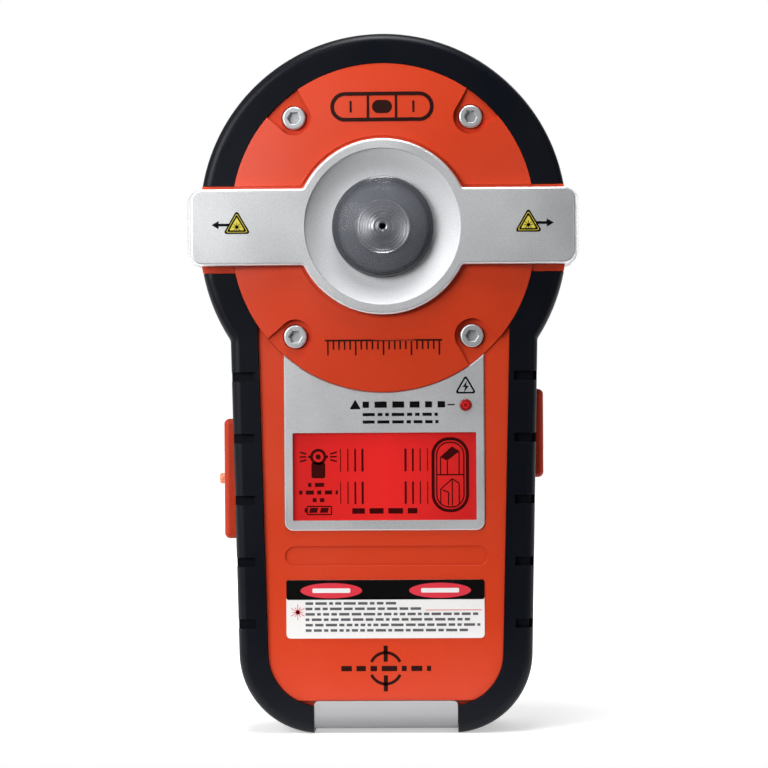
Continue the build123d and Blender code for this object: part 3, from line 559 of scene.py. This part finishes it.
# ---------------------------------------------------------------- front graphics
def head_graphics():
    """A spirit-level sign above the ring and a scale below it."""
    z = LEVEL_SIGN_Z
    sign = [rounded_frame(-12.5, 12.5, z - 3.6, z + 3.6, 3.5, 0.9)]
    sign += [stroke((side * 3.4, z - 2.7), (side * 3.4, z + 2.7), 0.6) for side in (-1, 1)]
    sign.append(rounded(-2.4, 2.4, z - 1.6, z + 1.6, 1.55))
    sign += [stroke((side * 7.6, z - 1.4), (side * 7.6, z + 1.4), 0.5) for side in (-1, 1)]
    printed("level_sign", sign, crown_y, INK, lift=0.06)
    ticks = []
    for index in range(-10, 11):
        x = index * TICK_PITCH
        tall = 3.4 if index % 5 == 0 else 2.0
        ticks.append(rect(x - 0.17, x + 0.17, SCALE_TOP_Z - tall, SCALE_TOP_Z))
    ticks.append(rect(-14.2, 14.2, SCALE_TOP_Z, SCALE_TOP_Z + 0.4))
    printed("scale_marks", ticks, crown_y, INK, lift=0.06)


def beam_signs():
    """A plain triangle with a burst, and an arrow to the end that the beam leaves by."""
    low, high = box_mm("laser_band")
    z = (low[2] + high[2]) / 2 + 0.3
    for side in (-1, 1):
        name = "left" if side < 0 else "right"
        x = side * 35.2
        surface = low[1]
        printed("beam_triangle_" + name, [triangle(x, z, 3.35, 0.5)], surface, BLACK_INK)
        field = [triangle(x, z, 1.8, 0.15), (triangle(x, z, 2.7, 0.3), triangle(x, z, 2.5, 0.28))]
        printed("beam_field_" + name, field, surface, YELLOW_INK, lift=0.05)
        burst_z = z - 0.25
        burst = [oval(x, burst_z, 0.42, 0.42, 12)]
        for turn in range(8):
            angle = turn * math.pi / 4
            end = (x + 1.05 * math.cos(angle), burst_z + 1.05 * math.sin(angle))
            burst.append(stroke((x, burst_z), end, 0.16))
        printed("beam_burst_" + name, burst, surface, BLACK_INK, lift=0.07)
        tip = x + side * 6.1
        arrow = [stroke((x + side * 1.9, z + 0.25), (tip - side * 1.4, z + 0.25), 0.65),
                 [(tip - side * 1.7, z + 1.25), (tip, z + 0.25), (tip - side * 1.7, z - 0.75)]]
        printed("beam_arrow_" + name, arrow, surface, BLACK_INK)


def display_graphics():
    """The display's signs and bars, with short bars where words were."""
    low, high = box_mm("display_window")
    surface = low[1]
    x0 = (low[0] + high[0]) / 2
    tool_x, tool_z = x0 - 16.1, 67.2
    shapes = [ring(tool_x, tool_z, 1.96, 1.30), oval(tool_x, tool_z, 0.62, 0.62, 20),
              rounded(tool_x - 1.68, tool_x + 1.68, 62.0, 65.9, 0.6),
              rect(tool_x - 2.4, tool_x - 1.9, tool_z - 0.3, tool_z + 0.3),
              rect(tool_x + 1.9, tool_x + 2.4, tool_z - 0.3, tool_z + 0.3)]
    for side in (-1, 1):
        for rise in (-1, 0, 1):
            start = (tool_x + side * 2.9, tool_z + rise * 0.7)
            end = (tool_x + side * 4.5, tool_z + rise * 1.15)
            shapes.append(stroke(start, end, 0.36))
    for z, half in ((60.4, 2.5), (58.55, 4.7), (56.7, 1.4)):
        shapes += words(tool_x - half, tool_x + half, z, 0.95, seed=int(z * 10), mean=1.5)
    shapes.append(rounded_frame(-19.0, -12.8, 53.05, 55.3, 0.3, 0.28, 2))
    shapes += [rect(-19.5, -19.0, 53.7, 54.7), [(-18.4, 53.6), (-16.5, 53.6), (-16.2, 54.8), (-18.1, 54.8)],
               [(-15.8, 53.6), (-13.9, 53.6), (-13.6, 54.8), (-15.5, 54.8)]]
    for side, start in ((-1, 5.35), (1, 5.1)):
        for index, width in enumerate((0.5, 0.4, 0.25, 0.18)):
            x = x0 + side * (start + index * 1.78)
            for z_low, z_high in ((55.7, 61.1), (63.6, 69.1)):
                shapes.append(rect(x - width / 2, x + width / 2, z_low, z_high))
    shapes += words(-7.9, 7.9, 54.0, 1.3, seed=5, mean=2.6)
    shapes += [rounded_frame(11.4, 20.5, 53.6, 71.8, 4.3, 0.75, 10),
               rounded_frame(12.5, 19.4, 54.7, 70.7, 3.2, 0.3, 10), rect(12.75, 19.15, 62.55, 62.85)]
    shapes += [[(13.5, 67.0), (16.4, 69.55), (18.2, 68.4), (15.2, 66.1)]]
    for x, z in ((13.6, 66.9), (15.25, 66.1), (18.1, 68.4)):
        shapes.append(rect(x - 0.14, x + 0.14, 62.85, z))
    studs = [((13.6, 55.6), (13.6, 59.2)), ((13.6, 59.2), (16.4, 61.7)), ((16.4, 61.7), (18.1, 60.6)),
             ((18.1, 60.6), (18.1, 55.6)), ((16.4, 61.7), (16.4, 55.2)), ((14.1, 59.0), (15.5, 58.4)),
             ((15.5, 58.4), (15.5, 55.3))]
    shapes += [stroke(start, end, 0.26) for start, end in studs]
    printed("display_signs", shapes, surface, LCD_INK)


def plate_graphics():
    """The lamp's triangle with its bolt, its leader line and three rows of short bars."""
    low, high = box_mm("ac_lens")
    x = (low[0] + high[0]) / 2
    z = (low[2] + high[2]) / 2
    printed("lamp_ring", [ring(x, z, 0.85, 0.45, 24)], low[1], RED_GLOW, lift=0.02)
    surface = box_mm("display_plate")[0][1]
    shapes = [(triangle(x, z + 4.3, 2.65, 0.45), triangle(x, z + 4.3, 1.95, 0.2))]
    shapes.append([(x + 0.35, z + 5.9), (x - 0.75, z + 4.35), (x - 0.1, z + 4.35), (x - 0.45, z + 2.95),
                   (x + 0.75, z + 4.65), (x + 0.1, z + 4.65)])
    shapes.append(rect(x - 4.4, x - 2.7, z - 0.05, z + 0.25))
    shapes.append(triangle(x - 26.8, z - 0.1, 1.35, 0.15))
    shapes += words(x - 25.0, x - 5.0, z + 0.2, 1.5, seed=21, mean=2.4)
    shapes += words(x - 25.0, x - 6.8, z - 2.2, 0.75, seed=22, mean=1.9)
    shapes += words(x - 25.0, x - 6.6, z - 4.0, 0.75, seed=23, mean=1.9)
    printed("lamp_signs", shapes, surface, BLACK_INK)


def label_graphics():
    """The label's dark header with two ovals, its rows of short bars and a small burst."""
    low, high = box_mm("front_label")
    surface = low[1]
    header = rounded(low[0], high[0], high[2] - 4.8, high[2], 0.6)
    printed("label_header", [header], surface, BLACK_INK, lift=0.02)
    z = high[2] - 2.6
    middle = (low[0] + high[0]) / 2
    printed("label_ovals", [oval(middle - 13.1, z, 7.5, 1.85), oval(middle + 13.3, z, 7.5, 1.85)],
            surface, RED_INK, lift=0.04)
    printed("label_oval_bars", [rounded(middle + x - 4.6, middle + x + 4.6, z - 0.55, z + 0.55, 0.3)
                                for x in (-13.1, 13.3)], surface, WHITE_INK, lift=0.06)
    bars = []
    for index, end in enumerate((2.6, 9.3, 22.5, 20.5, 23.0, 20.0)):
        bars += words(-19.4, end, high[2] - 5.7 - index * 1.31, 0.62, seed=40 + index, mean=1.9)
    printed("label_lines", bars, surface, GREY_INK)
    burst_x, burst_z = -21.3, high[2] - 7.8
    burst = [oval(burst_x, burst_z, 0.55, 0.55, 16)]
    for turn in range(12):
        angle = turn * math.pi / 6
        reach = 1.9 if turn % 2 else 1.35
        end = (burst_x + reach * math.cos(angle), burst_z + reach * math.sin(angle))
        burst.append(stroke((burst_x, burst_z), end, 0.14))
    burst.append(rect(9.8, 23.4, burst_z + 0.35, burst_z + 0.50))
    printed("label_burst", burst, surface, RED_INK)


def foot_graphics():
    """The cross-hair that marks the sensing spot, between two rows of bars."""
    surface = box_mm("front_label")[1][1]
    x, z = 0.0, FOOT_MARK_Z
    shapes = [arc_band(x, z, 3.8, 0.72, 24, 156), arc_band(x, z, 3.8, 0.72, 204, 336),
              rect(x - 0.5, x + 0.5, z + 1.6, z + 5.5), rect(x - 0.5, x + 0.5, z - 5.6, z - 1.7)]
    shapes += words(-10.8, 11.0, z - 0.05, 1.25, seed=9, mean=2.6)
    printed("foot_mark", shapes, surface, INK)


# ---------------------------------------------------------------- studio
def world_light():
    """A white ground for the camera, and for all other rays a soft tent that is dark in front."""
    world = bpy.data.worlds.new("studio")
    bpy.context.scene.world = world
    world.use_nodes = True
    tree = world.node_tree
    tree.nodes.clear()
    out = tree.nodes.new("ShaderNodeOutputWorld")
    coords = tree.nodes.new("ShaderNodeTexCoord")
    split = tree.nodes.new("ShaderNodeSeparateXYZ")
    tree.links.new(coords.outputs["Generated"], split.inputs["Vector"])
    side = map_range(tree, split.outputs["X"], -0.8, 0.8, 0.50, 0.22)
    depth = map_range(tree, split.outputs["Y"], -0.95, -0.10, 0.06, 1.0)
    depth.interpolation_type = "SMOOTHSTEP"
    tent = tree.nodes.new("ShaderNodeBackground")
    level = math_node(tree, "MULTIPLY", side.outputs["Result"], depth.outputs["Result"])
    tree.links.new(level, tent.inputs["Strength"])
    seen = tree.nodes.new("ShaderNodeBackground")
    seen.inputs["Color"].default_value = (1, 1, 1, 1)
    path = tree.nodes.new("ShaderNodeLightPath")
    plain = math_node(tree, "MAXIMUM", path.outputs["Is Camera Ray"], path.outputs["Is Transmission Ray"])
    mix = tree.nodes.new("ShaderNodeMixShader")
    tree.links.new(plain, mix.inputs["Fac"])
    tree.links.new(tent.outputs["Background"], mix.inputs[1])
    tree.links.new(seen.outputs["Background"], mix.inputs[2])
    tree.links.new(mix.outputs["Shader"], out.inputs["Surface"])


def lights():
    for name, place, size, power in LIGHTS:
        light = bpy.data.lights.new(name, "AREA")
        light.size = size
        light.energy = power
        lamp = bpy.data.objects.new(name, light)
        bpy.context.scene.collection.objects.link(lamp)
        lamp.location = place
        lamp.rotation_euler = (Vector(LIGHT_TARGET) - Vector(place)).to_track_quat("-Z", "Y").to_euler()


def studio_floor():
    """A white floor, cut off a little in front of the object, whose own glow grows with distance."""
    mesh = bpy.data.meshes.new("floor")
    half, near = FLOOR_HALF, FLOOR_NEAR_Y
    corners = [(-half, near, 0), (half, near, 0), (half, half, 0), (-half, half, 0)]
    mesh.from_pydata(corners, [], [(0, 1, 2, 3)])
    floor = bpy.data.objects.new("floor", mesh)
    bpy.context.scene.collection.objects.link(floor)
    material, shader = principled("floor", (0.85, 0.85, 0.85), 0.9, Emission_Color=(1, 1, 1, 1))
    mesh.materials.append(material)
    tree = material.node_tree
    reach = tree.nodes.new("ShaderNodeVectorMath")
    reach.operation = "LENGTH"
    tree.links.new(object_coords(material), reach.inputs[0])
    range_to(material, reach.outputs["Value"], shader.inputs["Emission Strength"],
             *FLOOR_GLOW, *FLOOR_GLOW_REACH)


def camera():
    """A long lens, level with the middle of the handle and a little to the right of it."""
    scene = bpy.context.scene
    data = bpy.data.cameras.new("camera")
    data.lens = LENS_LENGTH
    data.sensor_width = SENSOR_WIDTH
    lens = bpy.data.objects.new("camera", data)
    scene.collection.objects.link(lens)
    yaw = math.radians(CAMERA_YAW)
    target = Vector(CAMERA_TARGET)
    distance = VIEW_WIDTH / SENSOR_WIDTH * LENS_LENGTH
    lens.location = target + distance * Vector((math.sin(yaw), -math.cos(yaw), 0.0))
    aim = (target - lens.location).to_track_quat("-Z", "Y")
    lens.rotation_euler = aim.to_euler()
    lens.rotation_euler.rotate_axis("Z", -math.radians(CAMERA_ROLL))
    scene.camera = lens


bpy.context.scene.view_settings.view_transform = "Standard"
world_light()
lights()
studio_floor()
camera()
edge_lit(materials["red_plastic"])
cap_shade(CAP_PAINT)
dress_cad_nodes()
for node, width in (("front_housing", 0.5), ("head_plate", 0.6), ("top_bumper", 0.5), ("grip_left", 0.45),
                    ("grip_right", 0.45), ("laser_band", 0.2), ("side_window_left", 0.25),
                    ("side_window_right", 0.25), ("front_screws", 0.15), ("rear_cover", 0.3),
                    ("display_plate", 0.1), ("wall_pads", 0.2), ("case_screws", 0.12)):
    refined(node, width)
refined("end_cap", 0.3, material=CAP_PAINT)
for node in ("sensor_button", "laser_button"):
    refined(node, 0.3, body=node, material=BUTTON_ORANGE)
refined("battery_door", 0.25, body="battery_door")
head_graphics()
beam_signs()
display_graphics()
plate_graphics()
label_graphics()
foot_graphics()
printed("collar_seal", [ring(0, PIVOT_Z, 11.02, 10.5)], -13.75, COLLAR)
printed("boss_shade", [ring(0, PIVOT_Z, 2.15, 1.75)], -17.55, COLLAR)
# Painted shade: a black disc near the back of the core stands for the dark inside of the pin's hole
printed("pin_hole_shade", [oval(0, PIVOT_Z, 0.84, 0.84, 24)], box_mm("lens_core")[1][1] - 0.05, BLACK_INK)
lens_with_wall()
